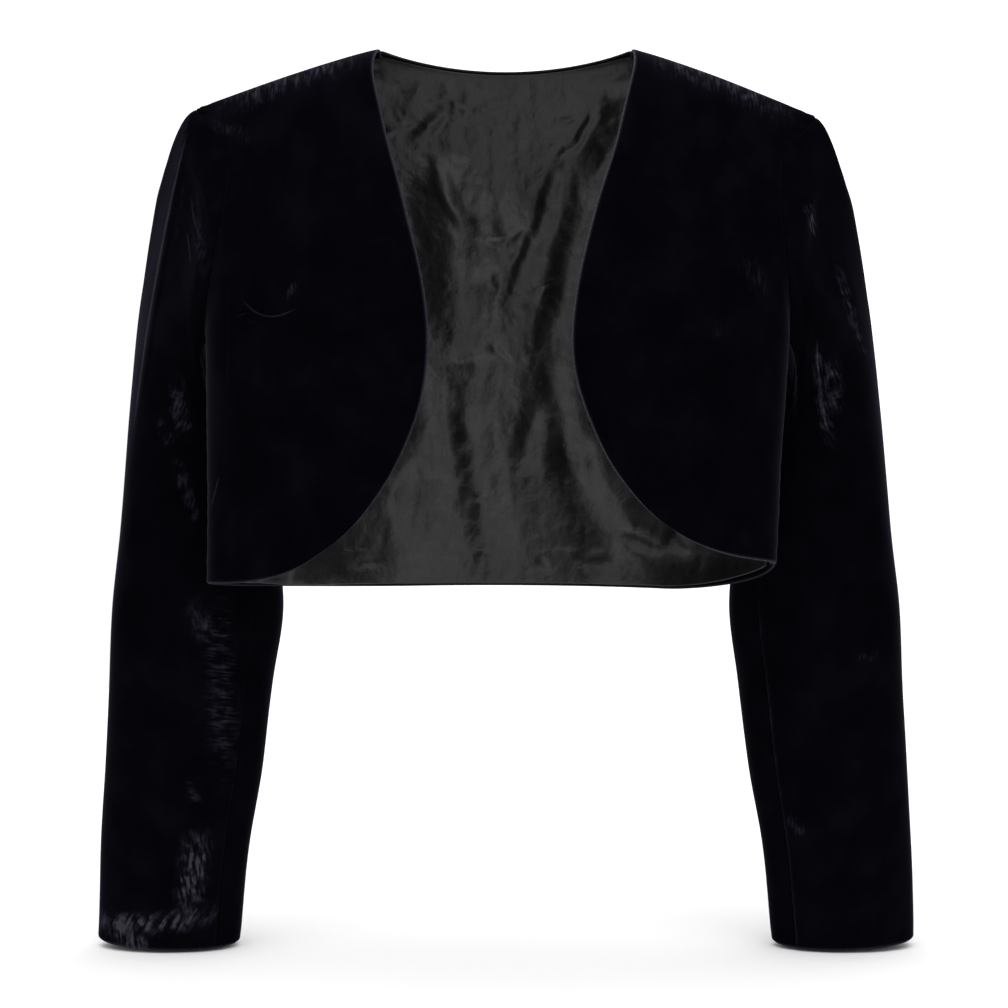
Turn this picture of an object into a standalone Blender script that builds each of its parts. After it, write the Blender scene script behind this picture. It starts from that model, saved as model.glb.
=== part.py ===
"""Cropped velvet evening jacket, filled out as on a figure.

The body is one smooth form, read at (angle, level): the angle turns from the centre line (0) to the
side seam (90 degrees), and the level climbs from the hem (0) to the shoulder seam. Fronts, back and
lining are patches of that form between their cut edges. The sleeves are tubes that leave its armholes.

Frame: +Z up, the wearer faces -Y, +X is the wearer's left. The origin is the middle of the neck, level
with the neck ends of the shoulder seams. Sizes are in millimetres, and become metres in the meshes.
"""

import bmesh
import bpy
import numpy as np

MM = 0.001

# Cloth
VELVET = 2.0
LINING = 1.0
SEAM = 0.3
VELVET_COLOR = (0.004, 0.005, 0.010)
VELVET_ROUGHNESS = 0.75
SATIN_COLOR = (0.035, 0.035, 0.038)
SATIN_ROUGHNESS = 0.42

# Neck, shoulders and hem
NECK_HALF = 89.5
NECK_DIP = 12.0
SHOULDER_DROP_RIGHT = 42.0
SHOULDER_DROP_LEFT = 47.5
SHOULDER_DROP_FADES_AT = -200.0
SHOULDER_BEND = 1.15
HEM_LIFT_RIGHT = 14.0
HEM_LIFT_LEFT = 25.0
HEM_LIFT_FROM = 0.45
HEM_LIFT_BEND = 1.5
RIDGE_DRAW = 1.35

# Armholes
UNDERARM_LEVEL = 2.9
ARMHOLE_FRONT_BITE = 27.0
ARMHOLE_BACK_BITE = 24.0
SIDE_SEAM_SHARE = 0.45
HOLE_POINTS = 160
HOLE_SOFTNESS = 14
UNDERARM_ROUND_FRONT = 0.7
UNDERARM_ROUND_BACK = 0.5
ARMHOLE_TOP_ROUND = 1.3

# Sleeve seams, as angles round the sleeve: 0 is outermost, 90 in front, 180 innermost
FRONT_SEAM = 135.0
FRONT_SEAM_AT_ARMHOLE = 118.0
BACK_SEAM = 232.0
HALF_SEAM = 0.3

# Sleeve head: how hard the cloth leaves the armhole, and how the seam folds from crown to underarm
HEAD_REACH_RIGHT = 37.0
HEAD_REACH_LEFT = 29.0
HEAD_REACH_UNDER = 12.0
HEAD_FALL_TOP = 75.0
HEAD_FALL_UNDER = 20.0
UNDERARM_FOLD = 110.0
SLEEVE_TWIST = 80.0
ARMHOLE_EASE = 1.1
CROWN_EASE = 0.8
CROWN_LIFT = 2.2
CROWN_NARROWNESS = 4
FOLD_BEND = 2
HEAD_SHARE = 0.42
CUFF_LIFT = 8.0
CUFF_LIFT_TURN = 20.0

# Cells across and along each piece
FRONT_CELLS = (12, 24)
BACK_CELLS = (30, 26)
SLEEVE_TOP_CELLS = (26, 20)
SLEEVE_UNDER_CELLS = (8, 20)

# The lining is one cell short of the back at each side and at the neck, and a narrow strip short at the hem
LINING_CELLS = (BACK_CELLS[0] - 2, BACK_CELLS[1] - 1)
LINING_ABOVE_HEM = 0.012


class Sections:
    """Rows of sizes under named columns, read smoothly at any row number, whole or not."""

    def __init__(self, columns, *rows):
        self.values = dict(zip(columns.split(), np.array(rows, float).T))
        self.last = len(rows) - 1

    def at(self, column, row):
        """The column's value at a row number, on a Catmull-Rom curve through its rows."""
        values = self.values[column]
        first = np.clip(np.floor(row).astype(int), 0, self.last - 1)
        along = row - first
        ends = np.concatenate([[2 * values[0] - values[1]], values, [2 * values[-1] - values[-2]]])
        a, b, c, d = (ends[first + step] for step in range(4))
        bend = 2 * a - 5 * b + 4 * c - d + along * (3 * (b - c) + d - a)
        return b + 0.5 * along * (c - a + along * bend)


# The body form from hem to shoulder seam, inside the velvet, with one row past the seam's ridge
BODY = Sections(
    "height half_width middle front_depth back_depth back_pinch sway",
    (-392, 201, -38, 64, 114, 1.20, -11),
    (-330, 204, -38, 70, 114, 1.20, -9),
    (-265, 206, -36, 76, 112, 1.18, -8),
    (-200, 208, -30, 82, 108, 1.10, -6),
    (-140, 212, -20, 84, 96, 1.00, -4),
    (-85, 216, -10, 74, 82, 0.95, -2),
    (-40, 219, -4, 54, 62, 0.90, -1),
    (-12, 220, 0, 31, 36, 0.90, 0),
    (-2, 220, 0, 0, 0, 0.90, 0),
    (-12, 220, 0, -31, -36, 0.90, 0),
)
FRONT_PINCH = 0.85
NORMAL_LIMIT = np.radians(88)
SHOULDER_LEVEL = BODY.last - 1

# Each front's free edge, from the neck down and round to its hem corner at the side seam
FRONT_EDGE = Sections(
    "right_x right_z left_x left_z",
    (-89.5, -2, 89.5, -2),
    (-93, -18, 89, -18),
    (-84, -60, 77, -66),
    (-70, -112, 61, -117),
    (-57, -166, 48, -172),
    (-53, -215, 45, -217),
    (-62, -263, 55, -257),
    (-86, -311, 77, -300),
    (-120, -348, 111, -335),
    (-166, -373, 154, -356),
)
HEM_TURN = 8

# One sleeve below its head, as level rings
SLEEVE = Sections(
    "height out back half_width half_depth",
    (-290, 231, 47, 45, 49),
    (-345, 228, 56, 54, 46),
    (-402, 228, 56, 61, 42),
    (-460, 232.5, 53, 58.5, 39),
    (-520, 237.5, 46, 56.5, 36),
    (-580, 243.5, 37, 53, 33),
    (-650, 247.5, 28, 50, 30),
)

# Folds that the loose lining hangs in, as ridges from a start to an end
LINING_FOLDS = Sections(
    "start_x start_z end_x end_z half_width height",
    (70, -34, -2, -188, 13, 6),
    (40, -120, 6, -268, 12, 5),
    (-56, -70, -44, -128, 10, 5),
    (-46, -84, 2, -126, 10, 6),
    (-40, -254, -14, -352, 14, 5),
    (30, -272, 78, -366, 16, 6),
)


def smooth_step(value):
    """0 up to 0, 1 from 1 on, and a soft S between."""
    value = np.clip(value, 0, 1)
    return value * value * (3 - 2 * value)


def unit(vectors):
    """The vectors at length 1."""
    return vectors / np.linalg.norm(vectors, axis=-1, keepdims=True)


def shoulder_drop(x):
    """How far the shoulder seam has fallen below the neck at this distance from the middle."""
    run = (np.abs(x) - NECK_HALF) / (BODY.values["half_width"][-1] - NECK_HALF)
    drop = np.where(x < 0, SHOULDER_DROP_RIGHT, SHOULDER_DROP_LEFT)
    return drop * np.maximum(run, 0) ** SHOULDER_BEND


def height_at(x, level):
    """Height of the body form at a level, lower towards the shoulder tips."""
    height = BODY.at("height", level)
    fade = smooth_step(1 - height / SHOULDER_DROP_FADES_AT)
    return height - shoulder_drop(x) * fade


def level_at(x, z):
    """The level at which the body form has height z, at this distance from the middle."""
    low = np.full_like(x, -0.5)
    high = np.full_like(x, SHOULDER_LEVEL)
    for _ in range(40):
        middle = (low + high) / 2
        under = height_at(x, middle) < z
        low = np.where(under, middle, low)
        high = np.where(under, high, middle)
    return (low + high) / 2


def angle_at(x, level):
    """The angle, signed, at which the body form is this far from the middle."""
    share = (x - BODY.at("sway", level)) / BODY.at("half_width", level)
    return np.arcsin(np.clip(share, -1, 1))


def body_point(angle, level, face):
    """A point of the body form; face is -1 for the front of the body and 1 for its back."""
    x = BODY.at("sway", level) + BODY.at("half_width", level) * np.sin(angle)
    depth = BODY.at("front_depth", level) if face < 0 else BODY.at("back_depth", level)
    pinch = FRONT_PINCH if face < 0 else BODY.at("back_pinch", level)
    y = BODY.at("middle", level) + face * (0.5 * SEAM + depth * np.clip(np.cos(angle), 0, 1) ** pinch)
    return np.stack([x, y, height_at(x, level)], axis=-1)


def body_wall(angle, level, face):
    """Points of the body form and its outward unit normals there, read just short of its sides."""
    step = 1e-3
    near = np.clip(angle, -NORMAL_LIMIT, NORMAL_LIMIT)
    across = body_point(near + step, level, face) - body_point(near - step, level, face)
    climb = body_point(near, level + step, face) - body_point(near, level - step, face)
    return body_point(angle, level, face), unit(np.cross(across, climb)) * -face


def foot_level(side):
    """Level of a side seam's foot, where the hem is lifted."""
    lift = HEM_LIFT_RIGHT if side < 0 else HEM_LIFT_LEFT
    rise = BODY.values["height"][1] - BODY.values["height"][0]
    return lift / rise


def outer_edge(v, side, face, foot):
    """Angle and level up a panel's outer edge: side seam from its foot, then armhole to the shoulder."""
    seam = np.clip(v / SIDE_SEAM_SHARE, 0, 1)
    hole = np.clip((v - SIDE_SEAM_SHARE) / (1 - SIDE_SEAM_SHARE), 0, 1)
    level = foot + (UNDERARM_LEVEL - foot) * seam + (SHOULDER_LEVEL - UNDERARM_LEVEL) * hole
    bite = np.radians(ARMHOLE_FRONT_BITE if face < 0 else ARMHOLE_BACK_BITE)
    foot_round = UNDERARM_ROUND_FRONT if face < 0 else UNDERARM_ROUND_BACK
    bend = np.where(hole < 0.5, foot_round, ARMHOLE_TOP_ROUND)
    return side * (np.pi / 2 - bite * np.sin(np.pi * hole) ** bend), level


def draw_up(v):
    """Shares of a panel's height drawn together towards the shoulder, where the form turns sharply."""
    return 1 - (1 - v) ** RIDGE_DRAW


def patch(u, v, bottom, top, inner, outer):
    """Angle and level inside four edges (a Coons patch); each edge gives both at a share of its way."""
    zero, one = np.zeros_like(u), np.ones_like(u)
    mixed = []
    for i in range(2):
        across = (1 - v) * bottom(u)[i] + v * top(u)[i]
        up = (1 - u) * inner(v)[i] + u * outer(v)[i]
        low = (1 - u) * bottom(zero)[i] + u * bottom(one)[i]
        high = (1 - u) * top(zero)[i] + u * top(one)[i]
        mixed.append(across + up - (1 - v) * low - v * high)
    return mixed


def front_surface(side):
    """Surface of one front over u, from its free edge to its outer edge, and v, from hem to shoulder."""
    name = "right" if side < 0 else "left"
    foot = foot_level(side)
    x, z = FRONT_EDGE.values[name + "_x"], FRONT_EDGE.values[name + "_z"]
    level = np.append(level_at(x, z), foot)
    angle = np.append(angle_at(x, level[:-1]), side * np.pi / 2)
    free_edge = Sections("angle level", *zip(angle, level))

    def along_edge(row):
        return free_edge.at("angle", row), free_edge.at("level", row)

    def bottom(u):
        return along_edge(HEM_TURN + (free_edge.last - HEM_TURN) * u)

    def inner(v):
        return along_edge(HEM_TURN * (1 - v))

    def outer(v):
        return outer_edge(v, side, -1, foot)

    def top(u):
        start, end = inner(np.ones_like(u)), outer(np.ones_like(u))
        return [(1 - u) * a + u * b for a, b in zip(start, end)]

    def surface(u, v):
        angle, level = patch(u, draw_up(v), bottom, top, inner, outer)
        return body_wall(angle, level, -1)

    return surface


def back_surface(u, v):
    """Surface of the back over u, from the right side to the left, and v, from hem to neck."""
    feet = foot_level(-1), foot_level(1)

    def right(v):
        return outer_edge(v, -1, 1, feet[0])

    def left(v):
        return outer_edge(v, 1, 1, feet[1])

    def bottom(u):
        angle = (1 - u) * right(np.zeros_like(u))[0] + u * left(np.zeros_like(u))[0]
        share = np.abs(angle) / (np.pi / 2)
        rise = np.clip((share - HEM_LIFT_FROM) / (1 - HEM_LIFT_FROM), 0, 1) ** HEM_LIFT_BEND
        return angle, rise * np.where(angle < 0, *feet)

    def top(u):
        ends = right(np.ones_like(u)), left(np.ones_like(u))
        angle = (1 - u) * ends[0][0] + u * ends[1][0]
        x = BODY.values["half_width"][-1] * np.sin(angle)
        arc = np.clip(1 - (x / NECK_HALF) ** 2, 0, 1)
        neck = level_at(x, BODY.values["height"][SHOULDER_LEVEL] - NECK_DIP * arc)
        return angle, np.where(np.abs(x) < NECK_HALF, np.minimum(neck, ends[0][1]), ends[0][1])

    angle, level = patch(u, draw_up(v), bottom, top, right, left)
    return body_wall(angle, level, 1)


def lining_ridges(x, z):
    """How far the lining stands off the back at (x, z), from its folds."""
    height = np.zeros_like(x)
    for row in zip(*LINING_FOLDS.values.values()):
        start_x, start_z, end_x, end_z, half_width, tall = row
        run = np.array([end_x - start_x, end_z - start_z])
        length = np.linalg.norm(run)
        along = ((x - start_x) * run[0] + (z - start_z) * run[1]) / length
        aside = ((x - start_x) * run[1] - (z - start_z) * run[0]) / length
        fade = smooth_step(along / half_width) * smooth_step((length - along) / half_width)
        height = np.maximum(height, tall * fade * np.exp(-(aside / half_width) ** 2))
    return height


def lining_surface(u, v):
    """Surface of the back lining, on the back's own lines, short of its edges and standing off in folds."""
    u = (1 + u * LINING_CELLS[0]) / BACK_CELLS[0]
    v = v * LINING_CELLS[1] / BACK_CELLS[1]
    points, outward = back_surface(u, np.maximum(v, LINING_ABOVE_HEM))
    stand_off = LINING + SEAM + lining_ridges(points[:, 0], points[:, 2])
    return points - outward * stand_off[:, None], outward


def armhole(side, face):
    """Points down one armhole edge from shoulder to underarm, with the body's outward normal at each."""
    angle, level = outer_edge(np.linspace(1, SIDE_SEAM_SHARE, HOLE_POINTS), side, face, 0.0)
    return body_wall(angle, level, face)


def armhole_loop(side):
    """Turns (degrees) round an armhole, each with its point, body normal and way into the opening."""
    front, front_normals = armhole(side, -1)
    back, back_normals = armhole(side, 1)
    turns = []
    for points in (front, back):
        steps = np.linalg.norm(np.diff(points, axis=0), axis=1)
        turns.append(180 * np.concatenate([[0], np.cumsum(steps)]) / steps.sum())
    points = np.concatenate([front, back[-2:0:-1]])
    normals = np.concatenate([front_normals, back_normals[-2:0:-1]])
    turn = np.concatenate([turns[0], 360 - turns[1][-2:0:-1]])
    along = unit(np.roll(points, -1, axis=0) - np.roll(points, 1, axis=0))
    soft = [sum(np.roll(data, shift, axis=0) for shift in range(-HOLE_SOFTNESS, HOLE_SOFTNESS + 1))
            for data in (normals, along)]
    normals = unit(soft[0])
    into = unit(np.cross(soft[1], normals)) * -side
    return turn, points, normals, into


def at_turn(turn, loop_turn, values):
    """Vectors round a loop, read at any turn."""
    return np.stack([np.interp(turn % 360, loop_turn, column, period=360) for column in values.T], axis=-1)


def sleeve_ring(side, turn, row):
    """A point of the sleeve's tube, on the ring at this row; the cuff's ring rises from its front."""
    angle = np.radians(turn)
    x = side * (SLEEVE.at("out", row) + SLEEVE.at("half_width", row) * np.cos(angle))
    y = SLEEVE.at("back", row) - SLEEVE.at("half_depth", row) * np.sin(angle)
    tilt = 0.5 - 0.5 * np.sin(angle - np.radians(CUFF_LIFT_TURN))
    lift = CUFF_LIFT * tilt * (row / SLEEVE.last) ** 2
    return np.stack([x, y, SLEEVE.at("height", row) + lift], axis=-1)


def sleeve_form(side):
    """One sleeve as a function of turn and v, from armhole to cuff."""
    loop_turn, holes, normals, ways_in = armhole_loop(side)

    def point(turn, v):
        hole_turn = turn + SLEEVE_TWIST * np.sin(np.radians(turn) / 2) ** 2
        hole = at_turn(hole_turn, loop_turn, holes)
        normal = unit(at_turn(hole_turn, loop_turn, normals))
        into = unit(at_turn(hole_turn, loop_turn, ways_in))
        rounded = hole_turn % 360
        under = 1 - np.abs(rounded / 180 - 1)
        fold = np.radians(UNDERARM_FOLD) * under ** FOLD_BEND
        crown = (1 - under) ** CROWN_NARROWNESS
        into = unit(into + (CROWN_LIFT * crown)[:, None] * np.array([side, 0, 0]))
        leave = np.cos(fold)[:, None] * into + np.sin(fold)[:, None] * normal
        ease = ARMHOLE_EASE + CROWN_EASE * crown
        start = hole + (ease + VELVET * np.tan(fold / 2))[:, None] * leave
        end = sleeve_ring(side, turn, np.zeros_like(v))
        fall = unit(sleeve_ring(side, turn, np.full_like(v, 0.05)) - end)
        top_reach = HEAD_REACH_RIGHT if side < 0 else HEAD_REACH_LEFT
        reach = top_reach + (HEAD_REACH_UNDER - top_reach) * under
        drop = HEAD_FALL_TOP + (HEAD_FALL_UNDER - HEAD_FALL_TOP) * under
        k = np.clip(v / HEAD_SHARE, 0, 1)[:, None]
        head = (1 - k) ** 3 * start + 3 * (1 - k) ** 2 * k * (start + reach[:, None] * leave)
        head += 3 * (1 - k) * k ** 2 * (end - drop[:, None] * fall) + k ** 3 * end
        tube = sleeve_ring(side, turn, SLEEVE.last * np.clip((v - HEAD_SHARE) / (1 - HEAD_SHARE), 0, 1))
        return np.where((v < HEAD_SHARE)[:, None], head, tube)

    return point


def sleeve_surface(side, half):
    """Surface of a sleeve piece over u, from its first seam to its last, and v, from armhole to cuff."""
    point = sleeve_form(side)
    step = 1e-3

    def surface(u, v):
        front_seam = FRONT_SEAM + (FRONT_SEAM_AT_ARMHOLE - FRONT_SEAM) * smooth_step(1 - v / HEAD_SHARE)
        if half == "top":
            first, last = BACK_SEAM - 360 + HALF_SEAM, front_seam - HALF_SEAM
        else:
            first, last = front_seam + HALF_SEAM, BACK_SEAM - HALF_SEAM
        turn = first + (last - first) * u
        round_it = point(turn + 1, v) - point(turn - 1, v)
        down_it = point(turn, np.minimum(v + step, 1)) - point(turn, np.maximum(v - step, 0))
        return point(turn, v), unit(np.cross(round_it, down_it)) * side

    return surface


def cloth(name, color, roughness):
    """A Principled material for a cloth."""
    material = bpy.data.materials.new(name)
    material.use_nodes = True
    shader = material.node_tree.nodes["Principled BSDF"]
    shader.inputs["Base Color"].default_value = (*color, 1)
    shader.inputs["Roughness"].default_value = roughness
    shader.inputs["Metallic"].default_value = 0
    return material


def add_piece(name, surface, cells, thickness, material):
    """A cloth piece: a grid extruded to two faces, laid on its surface and on that moved out by its wall."""
    wall = bmesh.new()
    bmesh.ops.create_grid(wall, x_segments=cells[0], y_segments=cells[1], size=0.5)
    raised = bmesh.ops.extrude_face_region(wall, geom=wall.faces[:], use_keep_orig=True)["geom"]
    bmesh.ops.translate(wall, verts=[g for g in raised if isinstance(g, bmesh.types.BMVert)], vec=(0, 0, 1))
    across, along, outer = np.array([corner.co for corner in wall.verts]).T
    points, outward = surface(across + 0.5, along + 0.5)
    points = points + outward * (outer * thickness)[:, None]
    for corner, point in zip(wall.verts, points * MM):
        corner.co = point
    bmesh.ops.recalc_face_normals(wall, faces=wall.faces)
    if wall.calc_volume(signed=True) < 0:
        bmesh.ops.reverse_faces(wall, faces=wall.faces)
    mesh = bpy.data.meshes.new(name)
    wall.to_mesh(mesh)
    wall.free()
    mesh.shade_smooth()
    mesh.materials.append(material)
    return bpy.data.objects.new(name, mesh)


def build():
    """All the pieces, hung from one empty at the middle of the neck."""
    for old in list(bpy.data.objects):
        bpy.data.objects.remove(old)
    pieces = []
    for side, name in ((-1, "right"), (1, "left")):
        velvet = cloth("velvet_front_" + name, VELVET_COLOR, VELVET_ROUGHNESS)
        pieces.append(add_piece("front_" + name, front_surface(side), FRONT_CELLS, VELVET, velvet))
        for half, cells in (("top", SLEEVE_TOP_CELLS), ("under", SLEEVE_UNDER_CELLS)):
            piece_name = f"sleeve_{name}_{half}"
            velvet = cloth("velvet_" + piece_name, VELVET_COLOR, VELVET_ROUGHNESS)
            pieces.append(add_piece(piece_name, sleeve_surface(side, half), cells, VELVET, velvet))
    velvet = cloth("velvet_back", VELVET_COLOR, VELVET_ROUGHNESS)
    pieces.append(add_piece("back", back_surface, BACK_CELLS, VELVET, velvet))
    satin = cloth("satin_lining", SATIN_COLOR, SATIN_ROUGHNESS)
    pieces.append(add_piece("back_lining", lining_surface, LINING_CELLS, LINING, satin))

    collection = bpy.data.collections.new("evening_jacket")
    bpy.context.scene.collection.children.link(collection)
    neck = bpy.data.objects.new("shoulder_rest", None)
    collection.objects.link(neck)
    for piece in pieces:
        piece.parent = neck
        collection.objects.link(piece)


build()
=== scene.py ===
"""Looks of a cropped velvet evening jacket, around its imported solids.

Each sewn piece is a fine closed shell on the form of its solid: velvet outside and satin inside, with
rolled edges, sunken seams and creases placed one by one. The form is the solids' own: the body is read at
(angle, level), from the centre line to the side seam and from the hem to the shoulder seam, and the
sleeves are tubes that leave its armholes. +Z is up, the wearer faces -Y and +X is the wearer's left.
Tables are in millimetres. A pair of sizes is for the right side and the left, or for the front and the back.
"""

from functools import partial

import bpy
import numpy as np
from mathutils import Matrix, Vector, noise


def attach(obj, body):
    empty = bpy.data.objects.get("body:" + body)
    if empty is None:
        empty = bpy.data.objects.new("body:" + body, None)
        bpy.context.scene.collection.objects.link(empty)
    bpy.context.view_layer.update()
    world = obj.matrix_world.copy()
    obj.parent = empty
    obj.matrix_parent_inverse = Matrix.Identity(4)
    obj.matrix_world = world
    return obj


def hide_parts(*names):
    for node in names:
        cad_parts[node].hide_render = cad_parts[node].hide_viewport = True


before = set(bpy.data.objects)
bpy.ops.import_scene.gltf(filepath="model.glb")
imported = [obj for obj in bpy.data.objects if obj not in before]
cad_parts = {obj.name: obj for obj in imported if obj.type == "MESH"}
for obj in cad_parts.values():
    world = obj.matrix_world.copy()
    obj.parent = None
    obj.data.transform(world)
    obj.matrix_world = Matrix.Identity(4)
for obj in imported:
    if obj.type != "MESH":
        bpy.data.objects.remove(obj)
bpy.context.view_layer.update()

MM = 0.001

# Cloth: its walls, the gap at a seam, and how its free and sewn edges are rounded
VELVET = 2.0
LINING = 1.0
SEAM = 0.3
EDGE_MIDDLE = 0.45
FREE_RADIUS = 1.9
FREE_START = 0.12
SEAM_RADIUS = 0.8
SEAM_START = 0.7

# Seam allowances that run on under the neighbouring piece, and cloth turned in at the free edges
LIP_ROWS = 3
LIP_FALL = 1.1
LIP_FADE = 8.0
LEAST_LIP = 0.15
EDGE_TURN = 6.0
CUFF_TURN = 24.0
HEAD_TURN = 150.0
FRONT_TURN = {"first": EDGE_TURN, "start": EDGE_TURN}
BACK_TURN = {"start": EDGE_TURN, "end": EDGE_TURN}
SLEEVE_TURN = {"start": HEAD_TURN, "end": CUFF_TURN}

# Free edges of each kind of piece, and how soon the back's free neck edge becomes its sewn shoulders
FRONT_FREE = "first start"
SLEEVE_FREE = "end"
BACK_FREE = "start end"
SHOULDER_BLEND = 6.0

# Neck, shoulders and hem
NECK_HALF = 89.5
NECK_DIP = 12.0
SHOULDER_DROP = (42.0, 47.5)
SHOULDER_DROP_FADES_AT = -200.0
SHOULDER_BEND = 1.15
HEM_LIFT = (11.0, 25.0)
HEM_LIFT_FROM = (0.2, 0.45)
HEM_LIFT_BEND = 1.5
RIDGE_DRAW = 1.35

# Armholes
UNDERARM_LEVEL = 2.9
ARMHOLE_BITE = (27.0, 24.0)
SIDE_SEAM_SHARE = 0.45
HOLE_POINTS = 160
HOLE_SOFTNESS = 22
UNDERARM_ROUND = (0.7, 0.5)
ARMHOLE_TOP_ROUND = 1.3

# Sleeve seams, as angles round the sleeve: 0 is outermost, 90 in front, 180 innermost
FRONT_SEAM = 135.0
FRONT_SEAM_AT_ARMHOLE = 118.0
BACK_SEAM = 232.0
HALF_SEAM = 0.3

# Sleeve head: how hard the cloth leaves the armhole, and how the seam folds from crown to underarm
HEAD_REACH = (34.0, 25.0)
HEAD_REACH_UNDER = 12.0
HEAD_FALL_TOP = 62.0
HEAD_FALL_UNDER = 20.0
UNDERARM_FOLD = 110.0
SLEEVE_TWIST = 80.0
ARMHOLE_EASE = 0.3
CROWN_LIFT = 2.2
CROWN_NARROWNESS = 4
FOLD_BEND = 2
HEAD_SHARE = 0.42

# How far the cuff rises towards its back, and how far its lowest place is turned in from the front
CUFF_LIFT = 8.0
CUFF_LIFT_TURN = 20.0

# Steps by which slopes are read: in radians, levels and shares, in degrees round a sleeve, in rows down it
SLOPE_STEP = 1e-3
TURN_STEP = 1
ROW_STEP = 0.05

# Cells across and along each fine shell, and how far they are gathered towards its edges
FRONT_CELLS = (110, 170)
BACK_CELLS = (190, 170)
SLEEVE_TOP_CELLS = (160, 240)
SLEEVE_UNDER_CELLS = (44, 230)
LINING_CELLS = (200, 225)
GATHER = 0.8
LINING_GATHER = -0.35
EDGE_CELL = 0.002

# Radius on which the cut's coordinates run round the body
GRAIN_REACH = 240.0

# The lining stops these shares short of the back's sides, neck and hem; softness rounds a neck's corners
LINING_SIDE_SHARE = 1 / 30
LINING_NECK_SHARE = 1 / 60
LINING_ABOVE_HEM = 0.005
BACK_NECK_SOFTNESS = 0.03
LINING_NECK_SOFTNESS = 0.12


class Sections:
    """Rows of sizes under named columns, read smoothly at any row number, whole or not."""

    def __init__(self, columns, *rows):
        self.values = dict(zip(columns.split(), np.array(rows, float).T))
        self.last = len(rows) - 1

    def at(self, column, row):
        """The column's value at a row number, on a Catmull-Rom curve through its rows."""
        values = self.values[column]
        first = np.clip(np.floor(row).astype(int), 0, self.last - 1)
        along = row - first
        ends = np.concatenate([[2 * values[0] - values[1]], values, [2 * values[-1] - values[-2]]])
        a, b, c, d = (ends[first + step] for step in range(4))
        bend = 2 * a - 5 * b + 4 * c - d + along * (3 * (b - c) + d - a)
        return b + 0.5 * along * (c - a + along * bend)


# The body form from hem to shoulder seam, inside the velvet, with one row past the seam's ridge
BODY = Sections(
    "height half_width middle front_depth back_depth back_pinch sway",
    (-390.5, 199, -38, 64, 114, 1.20, -11),
    (-330, 200, -38, 70, 114, 1.20, -9),
    (-265, 201.5, -36, 76, 112, 1.18, -8),
    (-200, 204.5, -30, 82, 108, 1.10, -6),
    (-140, 210.5, -20, 84, 96, 1.00, -4),
    (-85, 216, -10, 74, 82, 0.95, -2),
    (-40, 219, -4, 54, 62, 0.90, -1),
    (-12, 220, 0, 31, 36, 0.90, 0),
    (-2, 220, 0, 0, 0, 0.90, 0),
    (-12, 220, 0, -31, -36, 0.90, 0),
)
FRONT_PINCH = 0.85
NORMAL_LIMIT = np.radians(88)
SHOULDER_LEVEL = BODY.last - 1
LOWEST_LEVEL = -0.5
HALVINGS = 40

# Each front's free edge, from the neck down and round to the side seam; from row HEM_TURN on it is the hem
FRONT_EDGE = Sections(
    "right_x right_z left_x left_z",
    (-89.5, -2, 89.5, -2),
    (-93, -18, 89, -18),
    (-84, -60, 77, -66),
    (-70, -112, 61, -117),
    (-57, -166, 48, -172),
    (-53, -215, 45, -217),
    (-62, -263, 55, -257),
    (-86, -311, 77, -300),
    (-120, -348, 111, -335),
    (-166, -373, 154, -356),
)
HEM_TURN = 8

# One sleeve below its head, as level rings
SLEEVE = Sections(
    "height out back half_width half_depth",
    (-290, 231, 47, 45, 49),
    (-345, 228, 56, 54, 46),
    (-402, 228, 56, 61, 42),
    (-460, 232.5, 53, 58.5, 39),
    (-520, 237.5, 46, 56.5, 36),
    (-580, 243.5, 37, 53, 33),
    (-650, 247.5, 28, 50, 30),
)

# Strokes are soft ridges, or troughs where the height is negative, on a curve through three places seen
# from the front, written downwards or from left to right. Left is the width of their left or lower flank.
STROKE_STEPS = 14
STROKE_TAPER = 0.36
LINE_TAPER = 0.14
LINE_REACH = 7.0
STROKE_FACING = (-0.105, 0.245)
SHEEN_BAND_FACING = (-0.5, 0.1)
strokes = partial(Sections, "x1 z1 x2 z2 x3 z3 left right height")

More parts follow.
